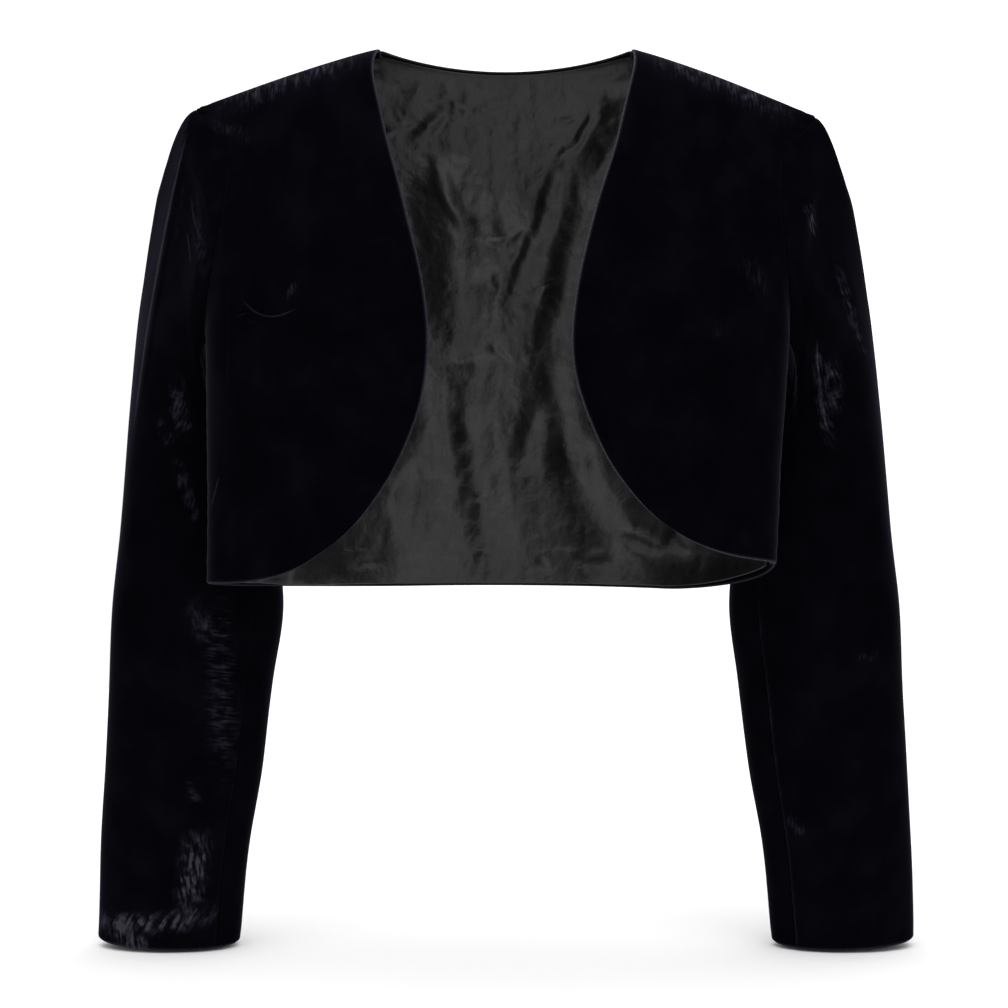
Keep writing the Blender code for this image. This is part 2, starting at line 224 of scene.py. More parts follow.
# Folds of the back lining: main ones, the corners of its hem, short ones, then storage creases and joins
LINING_STROKES = strokes(
    (68, -70, 49, -144, 25, -266, 18, 22, 5.2),
    (48, -68, 24, -123, -7, -202, 7, 16, 3.2),
    (-48, -60, -40, -134, -28, -240, 31, 32, 8.4),
    (-17, -97, -5, -118, -3, -138, 20, 16, 3.2),
    (-54, -65, -45, -102, -25, -134, 8, 12, 3.0),
    (-4, -128, -4, -138, -11, -150, 26, 16, 3.4),
    (-13, -153, -14, -164, -20, -176, 14, 11, 2.0),
    (-24, -217, -22, -233, -30, -258, 28, 20, 4.2),
    (-34, -237, -24, -304, -2, -420, 16, 28, 5.0),
    (29, -219, 39, -251, 49, -284, 17, 16, 3.4),
    (40, -264, 61, -330, 108, -430, 21, 26, 9.0),
    (27, -242, 22, -274, 14, -311, 16, 14, 3.8),
    (-63, -295, -73, -326, -67, -371, 15, 22, 2.2),
    (-107, -326, -98, -355, -104, -387, 20, 18, 1.4),
    (78, -345, 102, -355, 123, -371, 12, 10, 3.2),
    (116, -348, 132, -355, 137, -374, 18, 10, 4.2),
    (-80, -230, -93, -284, -128, -340, 18, 28, 8.5),
    (92, -10, 86, -52, 70, -100, 26, 10, 6.5),
    (-170, -312, -168, -365, -170, -430, 18, 84, 18.0),
    (100, -408, 186, -394, 330, -356, 5, 40, 12.0),
    (66, -28, 55, -55, 35, -72, 4, 6, 1.6),
    (-39, -35, -55, -47, -74, -65, 7, 8, 2.8),
    (-93, -60, -79, -51, -65, -47, 4, 6, 1.8),
    (-57, -30, -48, -29, -39, -27, 3, 4, 1.1),
    (-44, -43, -36, -40, -29, -45, 8, 8, 1.8),
    (-5, -13, -21, -25, -42, -37, 8, 9, 1.9),
    (17, -25, -4, -31, -27, -42, 9, 8, 1.5),
    (35, -42, 45, -44, 54, -40, 3, 4, 1.2),
    (21, -8, 22, -15, 21, -23, 3, 4, 1.2),
    (14, -120, 6, -128, -3, -133, 4, 5, 1.4),
    (-15, -159, -11, -167, -6, -172, 4, 5, 1.2),
    (-13, -209, -4, -220, 6, -226, 4, 6, 1.5),
    (17, -173, 29, -168, 43, -163, 4, 4, 1.2),
    (39, -189, 44, -192, 49, -197, 3, 4, 1.2),
    (50, -278, 59, -295, 64, -311, 8, 10, 1.1),
    (24, -369, 28, -375, 33, -382, 4, 5, 1.5),
    (53, -366, 59, -372, 65, -378, 4, 5, 1.4),
    (65, -369, 72, -374, 81, -378, 5, 5, 1.3),
    (-120, -379, -107, -373, -91, -373, 6, 6, 1.8),
    (-73, -309, -59, -312, -46, -313, 3, 4, 0.8),
    (-28, -325, -20, -326, -12, -326, 3, 4, 0.8),
    (-66, -133, -36, -133, 15, -131, 3, 3, 0.15),
    (-58, -223, -1, -223, 52, -227, 3, 3, 0.2),
    (-9, -335, 15, -335, 48, -337, 3, 3, 0.3),
    (-46, -49, -7, -49, 38, -51, 3, 3, 0.4),
    (2, -65, 3, -118, 2, -171, 2, 2, -0.3),
    (-14, -366, -14, -375, -14, -385, 2, 2, -0.8),
)

# The lining's slack, the line along its hem, and lengths and reaches of the waves that bend its folds
LINING_SLACK = 5.5
LINING_SLACK_REACH = 22.0
SOFT_ROUNDS = 60
LINING_HEM_LINE = -366.0
LINING_HEM_DEPTH = 0.5
LINING_HEM_WIDTH = 1.6
LINING_WARPS = ((36, 3.5), (12, 1.2))

# Crumples of the lining: how wide, long and high they are, and between which heights they grow, how much
LINING_CRUMPLES = ((42, 70, 1.5), (20, 34, 1.1), (9, 13, 0.55))
CRUMPLED_FROM = -130.0
CRUMPLED_TO = -70.0
CRUMPLED_MORE = 0.3

# Soft creases of the velvet, by piece
CREASES = {
    "sleeve_right_top": strokes(
        (-221, -40, -246, -156, -272, -300, 22, 4, 1.8),
        (-228, -66, -214, -100, -208, -136, 6.8, 10.2, 1.3),
        (-218, -84, -206, -112, -202, -150, 5.44, 8.16, 1.2),
        (-214, -118, -208, -150, -210, -176, 8.5, 8.5, -1.2),
        (-240, -230, -236, -262, -228, -292, 13.6, 13.6, 1.8),
        (-236, -292, -231, -318, -220, -346, 8.16, 12.2, 1.8),
        (-252, -330, -238, -346, -222, -352, 13.6, 13.6, -1.4),
        (-214, -424, -206, -428, -196, -426, 5.1, 5.1, 0.9),
        (-212, -446, -203, -450, -194, -447, 5.1, 5.1, 0.9),
        (-214, -470, -204, -474, -196, -470, 5.1, 5.1, 0.9),
        (-212, -496, -205, -500, -198, -497, 5.1, 5.1, 0.8),
        (-238, -560, -230, -590, -222, -622, 15.3, 15.3, 1.4),
    ),
    "sleeve_left_top": strokes(
        (232, -66, 250, -150, 268, -258, 17, 17, 1.4),
        (222, -84, 212, -118, 208, -150, 10.2, 6.8, 1.2),
        (236, -142, 243, -172, 252, -206, 10.2, 10.2, 1.6),
        (226, -212, 231, -248, 238, -284, 15.3, 15.3, 1.8),
        (224, -300, 236, -330, 250, -344, 13.6, 13.6, -1.4),
        (252, -424, 262, -430, 272, -434, 8.5, 8.5, 1),
        (196, -400, 205, -470, 212, -540, 13.6, 13.6, 1.2),
        (212, -548, 218, -570, 224, -590, 10.2, 10.2, 1),
    ),
    "front_right": strokes(
        (-178, -168, -166, -182, -150, -180, 6.8, 6.8, 0.9),
        (-190, -130, -186, -220, -192, -320, 23.8, 23.8, 1.6),
        (-96, -60, -118, -150, -128, -240, 44.2, 44.2, 1.4),
    ),
    "front_left": strokes(
        (186, -130, 184, -220, 188, -310, 23.8, 23.8, 1.6),
        (160, -140, 164, -170, 172, -200, 13.6, 13.6, 1),
        (92, -60, 112, -150, 122, -240, 44.2, 44.2, 1.4),
    ),
    "back": strokes(
        (-60, -70, -80, -160, -84, -330, 22, 34, 4.6),
        (64, -76, 82, -170, 76, -340, 34, 22, 4.6),
        (-8, -110, 2, -200, -4, -360, 26, 26, 3.4),
        (-158, -130, -138, -210, -112, -270, 14, 24, 3.6),
        (160, -136, 140, -214, 110, -280, 24, 14, 3.6),
        (-120, -330, -70, -338, -20, -334, 13, 13, 2.2),
        (26, -336, 74, -342, 124, -330, 13, 13, 2.2),
        (-100, -52, -30, -64, 40, -58, 15, 15, 2.4),
    ),
}

# Marks where the pile is crushed and shows its light side, by piece: spots, level ribs and slanted bars;
# among the spots, one row on each front is painted sheen along its shoulder ridge
CRUSH_AND_SHEEN = {
    "sleeve_right_top": strokes(
        (-231, -226, -232, -254, -226, -282, 10, 9, 1.0),
        (-246, -262, -244, -272, -240, -288, 7, 7, 0.7),
        (-238, -286, -230, -316, -220, -350, 6, 6, 0.95),
        (-221, -100, -214, -136, -210, -170, 7, 6, 0.45),
        (-227, -392, -222, -410, -215, -430, 12, 10, 0.8),
        (-224, -558, -227, -592, -234, -632, 15, 14, 1.7),
        (-292, -634, -276, -640, -252, -648, 12, 12, 1.4),
    ),
    "sleeve_left_top": strokes(
        (207, -112, 214, -122, 214, -138, 6, 6, 1.5),
        (232, -142, 243, -184, 264, -236, 5, 5, 0.85),
        (219, -204, 224, -246, 236, -290, 6, 6, 1.4),
        (226, -216, 231, -240, 234, -262, 12, 12, 1.1),
        (254, -436, 263, -438, 276, -431, 4, 5, 0.5),
        (182, -392, 190, -470, 200, -560, 5, 6, 0.45),
        (206, -552, 212, -561, 219, -570, 6, 6, 0.5),
    ),
    "front_right": strokes(
        (-215, -52, -194, -60, -172, -70, 7, 7, 0.4),
        # Painted sheen along the upward-facing shoulder ridge
        (-216, -50, -150, -18, -92, -6, 19, 17, 1.05),
        (-152, -180, -147, -174, -143, -166, 4, 4, 0.7),
    ),
    "front_left": strokes(
        (160, -146, 172, -164, 182, -182, 12, 12, 0.35),
        # Painted sheen along the upward-facing shoulder ridge
        (92, -6, 150, -22, 216, -56, 17, 19, 1.1),
        (141, -204, 145, -201, 149, -198, 4, 4, 0.6),
    ),
    "back": strokes(
        (-128, -90, -140, -150, -132, -250, 40, 34, 0.14),
        (96, -120, 118, -190, 122, -280, 38, 44, 0.13),
        (-70, -330, -10, -338, 60, -326, 30, 30, 0.1),
    ),
}
RIBS = {
    "sleeve_right_top": strokes(
        (-210, -380, -207, -455, -204, -545, 18, 16, 0.6),
        (-228, -522, -227, -534, -224, -545, 8, 8, 0.7),
    ),
}
BARS = {
    "sleeve_right_top": strokes(
        (-312, -628, -258, -630, -196, -620, 12, 10, 1.7),
    ),
}
MARKS = {"crush_and_sheen": CRUSH_AND_SHEEN, "ribs": RIBS, "bars": BARS}

# Thin light lines on the velvet, by piece
LINES = {
    "sleeve_right_top": strokes(
        (-224, -56, -246, -156, -269, -282, 1.3, 0.9, 0.85),
        (-224, -131, -222, -142, -220, -155, 0.8, 0.8, 0.6),
        (-221, -106, -218, -124, -211, -140, 0.7, 0.7, 0.5),
    ),
    "sleeve_left_top": strokes(
        (219, -206, 222, -236, 230, -272, 1.2, 1.0, 0.7),
    ),
    "front_right": strokes(
        (-181, -179, -164, -191, -142, -185, 0.9, 0.9, 0.55),
        (-199, -302, -202, -313, -205, -324, 0.9, 0.9, 0.5),
        (-191, -168, -191, -206, -192, -246, 0.8, 0.8, 0.14),
    ),
}

# Broad bands of painted sheen, where the sleeves turn away along their outer sides
SHEEN_BANDS = {
    "sleeve_right_top": strokes(
        (-210, 30, -243, -142, -276, -330, 26, 2, 0.42),
    ),
    "sleeve_left_top": strokes(
        (222, 10, 252, -130, 286, -330, 3, 24, 0.2),
    ),
}

# Light that the pile catches along a seam, by piece: which edge, how wide, and its strength at top and bottom
SEAM_LIGHT = {
    "front_right": ("last", 2.0, 0.0, 0.35),
    "front_left": ("last", 2.0, 0.0, 0.35),
    "sleeve_right_top": ("last", 1.6, 0.0, 0.08),
    "sleeve_left_top": ("last", 1.6, 0.05, 0.30),
}

# Light that the parted pile catches along the free edges, by piece, and its width
EDGE_LIGHT = {"front_right": 1.25, "front_left": 1.6}
PLAIN_EDGE_LIGHT = 0.9
EDGE_LINE = 1.3

# Unevenness of the hanging velvet, puckers that the seams draw in it, and where both start beside an edge
SWELL = 0.9
SWELL_LENGTH = 75.0
PUCKER = 0.35
PUCKER_REACH = 9.0
PUCKER_LENGTH = 15.0
PUCKER_DRIFT = 1.7
PUCKER_DRIFT_LENGTH = 53
PUCKER_START = 2
RELIEF_START = 12


def smooth_step(value):
    """0 up to 0, 1 from 1 on, and a soft S between."""
    value = np.clip(value, 0, 1)
    return value * value * (3 - 2 * value)


def unit(vectors):
    """The vectors at length 1."""
    return vectors / np.linalg.norm(vectors, axis=-1, keepdims=True)


def shoulder_drop(x):
    """How far the shoulder seam has fallen below the neck at this distance from the middle."""
    run = (np.abs(x) - NECK_HALF) / (BODY.values["half_width"][-1] - NECK_HALF)
    drop = np.where(x < 0, *SHOULDER_DROP)
    return drop * np.maximum(run, 0) ** SHOULDER_BEND


def height_at(x, level):
    """Height of the body form at a level, lower towards the shoulder tips."""
    height = BODY.at("height", level)
    fade = smooth_step(1 - height / SHOULDER_DROP_FADES_AT)
    return height - shoulder_drop(x) * fade


def level_at(x, z):
    """The level at which the body form has height z, at this distance from the middle."""
    low = np.full_like(x, LOWEST_LEVEL)
    high = np.full_like(x, SHOULDER_LEVEL)
    for _ in range(HALVINGS):
        middle = (low + high) / 2
        under = height_at(x, middle) < z
        low = np.where(under, middle, low)
        high = np.where(under, high, middle)
    return (low + high) / 2


def angle_at(x, level):
    """The angle, signed, at which the body form is this far from the middle."""
    share = (x - BODY.at("sway", level)) / BODY.at("half_width", level)
    return np.arcsin(np.clip(share, -1, 1))


def body_point(angle, level, face):
    """A point of the body form; face is -1 for the front of the body and 1 for its back."""
    x = BODY.at("sway", level) + BODY.at("half_width", level) * np.sin(angle)
    depth = BODY.at("front_depth", level) if face < 0 else BODY.at("back_depth", level)
    pinch = FRONT_PINCH if face < 0 else BODY.at("back_pinch", level)
    y = BODY.at("middle", level) + face * (0.5 * SEAM + depth * np.clip(np.cos(angle), 0, 1) ** pinch)
    return np.stack([x, y, height_at(x, level)], axis=-1)


def body_wall(angle, level, face):
    """Points of the body form and its outward unit normals there, read just short of its sides."""
    near = np.clip(angle, -NORMAL_LIMIT, NORMAL_LIMIT)
    across = body_point(near + SLOPE_STEP, level, face) - body_point(near - SLOPE_STEP, level, face)
    climb = body_point(near, level + SLOPE_STEP, face) - body_point(near, level - SLOPE_STEP, face)
    return body_point(angle, level, face), unit(np.cross(across, climb)) * -face


def foot_level(side):
    """Level of a side seam's foot, where the hem is lifted."""
    rise = BODY.values["height"][1] - BODY.values["height"][0]
    return HEM_LIFT[side > 0] / rise


def outer_edge(v, side, face, foot):
    """Angle and level up a panel's outer edge: side seam from its foot, then armhole to the shoulder."""
    seam = np.clip(v / SIDE_SEAM_SHARE, 0, 1)
    hole = np.clip((v - SIDE_SEAM_SHARE) / (1 - SIDE_SEAM_SHARE), 0, 1)
    level = foot + (UNDERARM_LEVEL - foot) * seam + (SHOULDER_LEVEL - UNDERARM_LEVEL) * hole
    bite = np.radians(ARMHOLE_BITE[face > 0])
    bend = np.where(hole < 0.5, UNDERARM_ROUND[face > 0], ARMHOLE_TOP_ROUND)
    return side * (np.pi / 2 - bite * np.sin(np.pi * hole) ** bend), level


def draw_up(v):
    """Shares of a panel's height drawn together towards the shoulder, where the form turns sharply."""
    return 1 - (1 - v) ** RIDGE_DRAW


def patch(u, v, bottom, top, inner, outer):
    """Angle and level inside four edges (a Coons patch); each edge gives both at a share of its way."""
    zero, one = np.zeros_like(u), np.ones_like(u)
    mixed = []
    for i in range(2):
        across = (1 - v) * bottom(u)[i] + v * top(u)[i]
        up = (1 - u) * inner(v)[i] + u * outer(v)[i]
        low = (1 - u) * bottom(zero)[i] + u * bottom(one)[i]
        high = (1 - u) * top(zero)[i] + u * top(one)[i]
        mixed.append(across + up - (1 - v) * low - v * high)
    return mixed


def front_surface(side):
    """Surface of one front over u, from its free edge to its outer edge, and v, from hem to shoulder."""
    name = "right" if side < 0 else "left"
    foot = foot_level(side)
    x, z = FRONT_EDGE.values[name + "_x"], FRONT_EDGE.values[name + "_z"]
    level = np.append(level_at(x, z), foot)
    angle = np.append(angle_at(x, level[:-1]), side * np.pi / 2)
    free_edge = Sections("angle level", *zip(angle, level))

    def along_edge(row):
        return free_edge.at("angle", row), free_edge.at("level", row)

    def bottom(u):
        return along_edge(HEM_TURN + (free_edge.last - HEM_TURN) * u)

    def inner(v):
        return along_edge(HEM_TURN * (1 - v))

    def outer(v):
        return outer_edge(v, side, -1, foot)

    def top(u):
        start, end = inner(np.ones_like(u)), outer(np.ones_like(u))
        return [(1 - u) * a + u * b for a, b in zip(start, end)]

    def surface(u, v):
        angle, level = patch(u, draw_up(v), bottom, top, inner, outer)
        return body_wall(angle, level, -1)

    return surface


def back_surface(softness):
    """Surface of the back over u, from the right side to the left, and v, from hem to neck.

    Softness rounds the corners between its neck edge and its shoulder seams.
    """
    feet = foot_level(-1), foot_level(1)

    def right(v):
        return outer_edge(v, -1, 1, feet[0])

    def left(v):
        return outer_edge(v, 1, 1, feet[1])

    def bottom(u):
        angle = (1 - u) * right(np.zeros_like(u))[0] + u * left(np.zeros_like(u))[0]
        share = np.abs(angle) / (np.pi / 2)
        lift_from = np.where(angle < 0, *HEM_LIFT_FROM)
        rise = np.clip((share - lift_from) / (1 - lift_from), 0, 1) ** HEM_LIFT_BEND
        return angle, rise * np.where(angle < 0, *feet)

    def top(u):
        ends = right(np.ones_like(u)), left(np.ones_like(u))
        angle = (1 - u) * ends[0][0] + u * ends[1][0]
        x = BODY.values["half_width"][-1] * np.sin(angle)
        arc = softness * np.logaddexp(0, (1 - (x / NECK_HALF) ** 2) / softness)
        return angle, level_at(x, height_at(x, np.full_like(x, SHOULDER_LEVEL)) - NECK_DIP * arc)

    def surface(u, v):
        angle, level = patch(u, draw_up(v), bottom, top, right, left)
        return body_wall(angle, level, 1)

    return surface


def armhole(side, face):
    """Points down one armhole edge from shoulder to underarm, with the body's outward normal at each."""
    angle, level = outer_edge(np.linspace(1, SIDE_SEAM_SHARE, HOLE_POINTS), side, face, 0.0)
    return body_wall(angle, level, face)


def armhole_loop(side):
    """Turns (degrees) round an armhole, each with its point, body normal and way into the opening."""
    front, front_normals = armhole(side, -1)
    back, back_normals = armhole(side, 1)
    turns = []
    for points in (front, back):
        steps = np.linalg.norm(np.diff(points, axis=0), axis=1)
        turns.append(180 * np.concatenate([[0], np.cumsum(steps)]) / steps.sum())
    points = np.concatenate([front, back[-2:0:-1]])
    normals = np.concatenate([front_normals, back_normals[-2:0:-1]])
    turn = np.concatenate([turns[0], 360 - turns[1][-2:0:-1]])
    along = unit(np.roll(points, -1, axis=0) - np.roll(points, 1, axis=0))
    degrees = np.arange(360)
    soft = []
    for data in (normals, along):
        even = at_turn(degrees, turn, data)
        soft.append(sum(np.roll(even, shift, axis=0) for shift in range(-HOLE_SOFTNESS, HOLE_SOFTNESS + 1)))
    normals = unit(soft[0])
    into = unit(np.cross(soft[1], normals)) * -side
    return degrees, at_turn(degrees, turn, points), normals, into


def at_turn(turn, loop_turn, values):
    """Vectors round a loop, read at any turn."""
    return np.stack([np.interp(turn % 360, loop_turn, column, period=360) for column in values.T], axis=-1)


def sleeve_ring(side, turn, row):
    """A point of the sleeve's tube, on the ring at this row; the cuff's ring rises from its front."""
    angle = np.radians(turn)
    x = side * (SLEEVE.at("out", row) + SLEEVE.at("half_width", row) * np.cos(angle))
    y = SLEEVE.at("back", row) - SLEEVE.at("half_depth", row) * np.sin(angle)
    tilt = 0.5 - 0.5 * np.sin(angle - np.radians(CUFF_LIFT_TURN))
    lift = CUFF_LIFT * tilt * (row / SLEEVE.last) ** 2
    return np.stack([x, y, SLEEVE.at("height", row) + lift], axis=-1)


def sleeve_form(side):
    """One sleeve as a function of turn and v, from armhole to cuff."""
    loop_turn, holes, normals, ways_in = armhole_loop(side)

    def point(turn, v):
        hole_turn = turn + SLEEVE_TWIST * np.sin(np.radians(turn) / 2) ** 2
        hole = at_turn(hole_turn, loop_turn, holes)
        normal = unit(at_turn(hole_turn, loop_turn, normals))
        into = unit(at_turn(hole_turn, loop_turn, ways_in))
        under = 1 - np.abs(hole_turn % 360 / 180 - 1)
        fold = np.radians(UNDERARM_FOLD) * under ** FOLD_BEND
        crown = (1 - under) ** CROWN_NARROWNESS
        into = unit(into + (CROWN_LIFT * crown)[:, None] * np.array([side, 0, 0]))
        leave = np.cos(fold)[:, None] * into + np.sin(fold)[:, None] * normal
        start = hole + (ARMHOLE_EASE + VELVET * np.tan(fold / 2))[:, None] * leave
        end = sleeve_ring(side, turn, np.zeros_like(v))
        fall = unit(sleeve_ring(side, turn, np.full_like(v, ROW_STEP)) - end)
        top_reach = HEAD_REACH[side > 0]
        reach = top_reach + (HEAD_REACH_UNDER - top_reach) * under
        drop = HEAD_FALL_TOP + (HEAD_FALL_UNDER - HEAD_FALL_TOP) * under
        k = np.clip(v / HEAD_SHARE, 0, 1)[:, None]
        head = (1 - k) ** 3 * start + 3 * (1 - k) ** 2 * k * (start + reach[:, None] * leave)
        head += 3 * (1 - k) * k ** 2 * (end - drop[:, None] * fall) + k ** 3 * end
        tube = sleeve_ring(side, turn, SLEEVE.last * np.clip((v - HEAD_SHARE) / (1 - HEAD_SHARE), 0, 1))
        return np.where((v < HEAD_SHARE)[:, None], head, tube)

    return point


def sleeve_surface(side, half):
    """Surface of a sleeve piece over u, from its first seam to its last, and v, from armhole to cuff."""
    point = sleeve_form(side)

    def surface(u, v):
        front_seam = FRONT_SEAM + (FRONT_SEAM_AT_ARMHOLE - FRONT_SEAM) * smooth_step(1 - v / HEAD_SHARE)
        if half == "top":
            first, last = BACK_SEAM - 360 + HALF_SEAM, front_seam - HALF_SEAM
        else:
            first, last = front_seam + HALF_SEAM, BACK_SEAM - HALF_SEAM
        turn = first + (last - first) * u
        round_it = point(turn + TURN_STEP, v) - point(turn - TURN_STEP, v)
        above, below = np.maximum(v - SLOPE_STEP, 0), np.minimum(v + SLOPE_STEP, 1)
        down_it = point(turn, below) - point(turn, above)
        return point(turn, v), unit(np.cross(round_it, down_it)) * side

    return surface


def lining_surface(u, v):
    """The back's surface where the lining lies on it, short of the sides, neck and hem."""
    u = LINING_SIDE_SHARE + (1 - 2 * LINING_SIDE_SHARE) * u
    v = LINING_ABOVE_HEM + (1 - LINING_NECK_SHARE - LINING_ABOVE_HEM) * v
    return back_surface(LINING_NECK_SOFTNESS)(u, v)


def gathered(cells, gather):
    """Shares from 0 to 1 with their steps gathered towards both ends, or towards the middle if negative."""
    share = np.linspace(0, 1, cells + 1)
    share = share - gather * np.sin(2 * np.pi * share) / (2 * np.pi)
    share[1] = min(share[1], EDGE_CELL)
    share[-2] = max(share[-2], 1 - EDGE_CELL)
    return share


def run_along(points, axis):
    """Distance of each grid point from its line's first point, along the grid."""
    steps = np.linalg.norm(np.diff(points, axis=axis), axis=-1)
    run = np.cumsum(steps, axis=axis)
    return np.concatenate([np.zeros_like(run.take([0], axis=axis)), run], axis=axis)


EDGE_AXES = {"first": (0, 0), "last": (0, -1), "start": (1, 0), "end": (1, -1)}


class Lip:
    """How far an allowance runs on past its edge and how deep it lies, on all of the edge or a part.

    The part is given by an axis and by how far from the middle it starts and ends there.
    """

    def __init__(self, reach, depth, axis=0, start=-np.inf, end=np.inf):
        self.reach, self.depth = reach, depth
        self.axis, self.start, self.end = axis, start, end

    def share(self, points):
        """1 where the edge has the lip and 0 where it has none."""
        place = np.abs(points[..., self.axis])
        return smooth_step((place - self.start) / LIP_FADE) * smooth_step((self.end - place) / LIP_FADE)

    def reach_at(self, points):
        """How far the lip runs on at these points."""
        return LEAST_LIP + (self.reach - LEAST_LIP) * self.share(points)

    def sunk(self, points, gap):
        """How far the cloth has sunk at these points, at this distance from the lip's end."""
        fall = smooth_step((self.reach_at(points) + LIP_FALL - gap) / (2 * LIP_FALL))
        return self.depth * self.share(points) * fall


ARMHOLE_LIP = Lip(3.2, 2.8)
SLEEVE_SEAM_LIP = Lip(1.8, 2.8)
SIDE_SEAM_LIP = Lip(2.8, 2.8, axis=2, start=210.0)
SHOULDER_LIP = Lip(2.4, 4.2, axis=0, end=218.0)


class Panel:
    """A fine grid over one piece: places, outward normals, cut coordinates and distances from the edges.

    Its edges are named first and last across the piece, and start and end along it.
    """

    def __init__(self, surface, cells, gather, lips):
        u, v = np.meshgrid(*(gathered(count, gather) for count in cells), indexing="ij")
        points, outward = surface(u.ravel(), v.ravel())
        self.points = points.reshape(*u.shape, 3)
        self.outward = outward.reshape(*u.shape, 3)
        for edge, lip in lips.items():
            self.add_lip(edge, lip)
        self.x, self.z = self.points[..., 0], self.points[..., 2]
        self.across = run_along(self.points, 0)
        self.along = run_along(self.points, 1)
        self.edges = {
            "first": self.across,
            "last": self.across[-1:] - self.across,
            "start": self.along,
            "end": self.along[:, -1:] - self.along,
        }

    def add_lip(self, edge, lip):
        """Rows that go straight on past an edge."""
        axis, end = EDGE_AXES[edge]
        rim = self.points.take([end], axis=axis)
        within = self.points.take([1 if end == 0 else -2], axis=axis)
        shares = np.arange(LIP_ROWS, 0, -1) / LIP_ROWS
        steps = shares.reshape((-1, 1) if axis == 0 else (1, -1)) * lip.reach_at(rim)
        rows = rim + unit(rim - within) * steps[..., None]
        turned = np.repeat(self.outward.take([end], axis=axis), LIP_ROWS, axis=axis)
        rows = rows if end == 0 else np.flip(rows, axis)
        way = 1 if end == 0 else -1
        self.points = np.concatenate([rows, self.points][::way], axis=axis)
        self.outward = np.concatenate([turned, self.outward][::way], axis=axis)

    def shoulder(self):
        """1 along the back's sewn shoulders, beyond the neck where its top edge is free, and 0 elsewhere."""
        beyond_neck = smooth_step((np.abs(self.x) - NECK_HALF) / SHOULDER_BLEND + 0.5)
        return beyond_neck * (self.edges["end"] < self.edges["start"])

    def rim(self, names="first last start end"):
        """Distance to the nearest of the named edges."""
        return np.minimum.reduce([self.edges[name] for name in names.split()])

    def field(self, width, length, seed):
        """Soft noise over the piece, from about -1 to 1, with bumps of this width and this length down it."""
        places = (self.points / (width, width, length)).reshape(-1, 3)
        lift = Vector((0, 0, seed))
        return np.array([noise.noise(Vector(place) + lift) for place in places]).reshape(self.x.shape)


def strokes_over(x, z, table, fading):
    """For each stroke: how far places (x, z) are from it, negative on its left, its taper and its sizes."""
    share = np.linspace(0, 1, STROKE_STEPS + 1)[:, None]
    for x1, z1, x2, z2, x3, z3, left, right, height in zip(*table.values.values()):
        start, middle, end = np.array([(x1, z1), (x2, z2), (x3, z3)])
        bend = 2 * middle - 0.5 * (start + end)
        path = (1 - share) ** 2 * start + 2 * share * (1 - share) * bend + share ** 2 * end
        nearest = np.full(x.shape, np.inf)
        on_left = np.zeros(x.shape, bool)
        along = np.zeros(x.shape)
        for i in range(STROKE_STEPS):
            run = path[i + 1] - path[i]
            dx, dz = x - path[i][0], z - path[i][1]
            part = np.clip((dx * run[0] + dz * run[1]) / np.dot(run, run), 0, 1)
            gap = np.hypot(dx - part * run[0], dz - part * run[1])
            closer = gap < nearest
            nearest = np.where(closer, gap, nearest)
            on_left = np.where(closer, dx * run[1] > dz * run[0], on_left)
            along = np.where(closer, (i + part) / STROKE_STEPS, along)
        taper = smooth_step(along / fading) * smooth_step((1 - along) / fading)
        yield np.where(on_left, -nearest, nearest), taper, np.where(on_left, left, right), height


def stroke_values(x, z, table):
    """Each stroke's height at places (x, z), one after the other."""
    for gap, taper, width, height in strokes_over(x, z, table, STROKE_TAPER):
        yield height * taper * smooth_step(1 - np.abs(gap) / width)


def nearest_line(x, z, table):
    """How many widths places (x, z) are to one side of their nearest line, and the line's strength there."""
    least = np.full(x.shape, np.inf)
    side = np.full(x.shape, LINE_REACH)
    strength = np.zeros(x.shape)
    for gap, taper, width, height in strokes_over(x, z, table, LINE_TAPER):
        closer = np.abs(gap) < least
        least = np.where(closer, np.abs(gap), least)
        side = np.where(closer, gap / width, side)
        strength = np.where(closer, height * taper * (np.abs(gap) < LINE_REACH), strength)
    return side, strength


def add_object(name, data):
    """A new object in the scene."""
    thing = bpy.data.objects.new(name, data)
    bpy.context.scene.collection.objects.link(thing)
    return thing


def facing(panel, node, hidden, full):
    """1 where a piece is seen from the side that its strokes are placed on, 0 where it turns away.

    Hidden and full are the shares of its normal towards that side at which a stroke is gone and is whole.
    """
    toward = panel.outward[..., 1] * (1 if node == "back" else -1)
    return smooth_step((toward - hidden) / (full - hidden))


def puckers(panel, names):
    """Small ripples that a seam draws in the cloth beside it."""
    gap = panel.rim(names)
    run = panel.across if names == "start" else panel.along
    drift = PUCKER_DRIFT * np.sin(2 * np.pi * run / PUCKER_DRIFT_LENGTH)
    wave = np.sin(2 * np.pi * run / PUCKER_LENGTH + drift)
    return PUCKER * wave * np.exp(-gap / PUCKER_REACH) * smooth_step(gap / PUCKER_START)


def rounded(gap, radius, start):
    """Share of the wall's full height at a gap from an edge, rounded off with this radius."""
    return np.maximum(np.sqrt(1 - (1 - np.clip(gap / radius, 0, 1)) ** 2), start)


def wall_share(panel, free_edges):
    """Share of the wall's full height over a panel, whose free edges are rounded more than its seams."""
    seams = " ".join(edge for edge in EDGE_AXES if edge not in free_edges.split())
    full = rounded(panel.rim(seams), SEAM_RADIUS, SEAM_START)
    if free_edges:
        free = rounded(panel.rim(free_edges), FREE_RADIUS, FREE_START)
        if free_edges == BACK_FREE:
            sewn = rounded(panel.rim(free_edges), SEAM_RADIUS, SEAM_START)
            free = free + (sewn - free) * panel.shoulder()
        full = np.minimum(full, free)
    return full


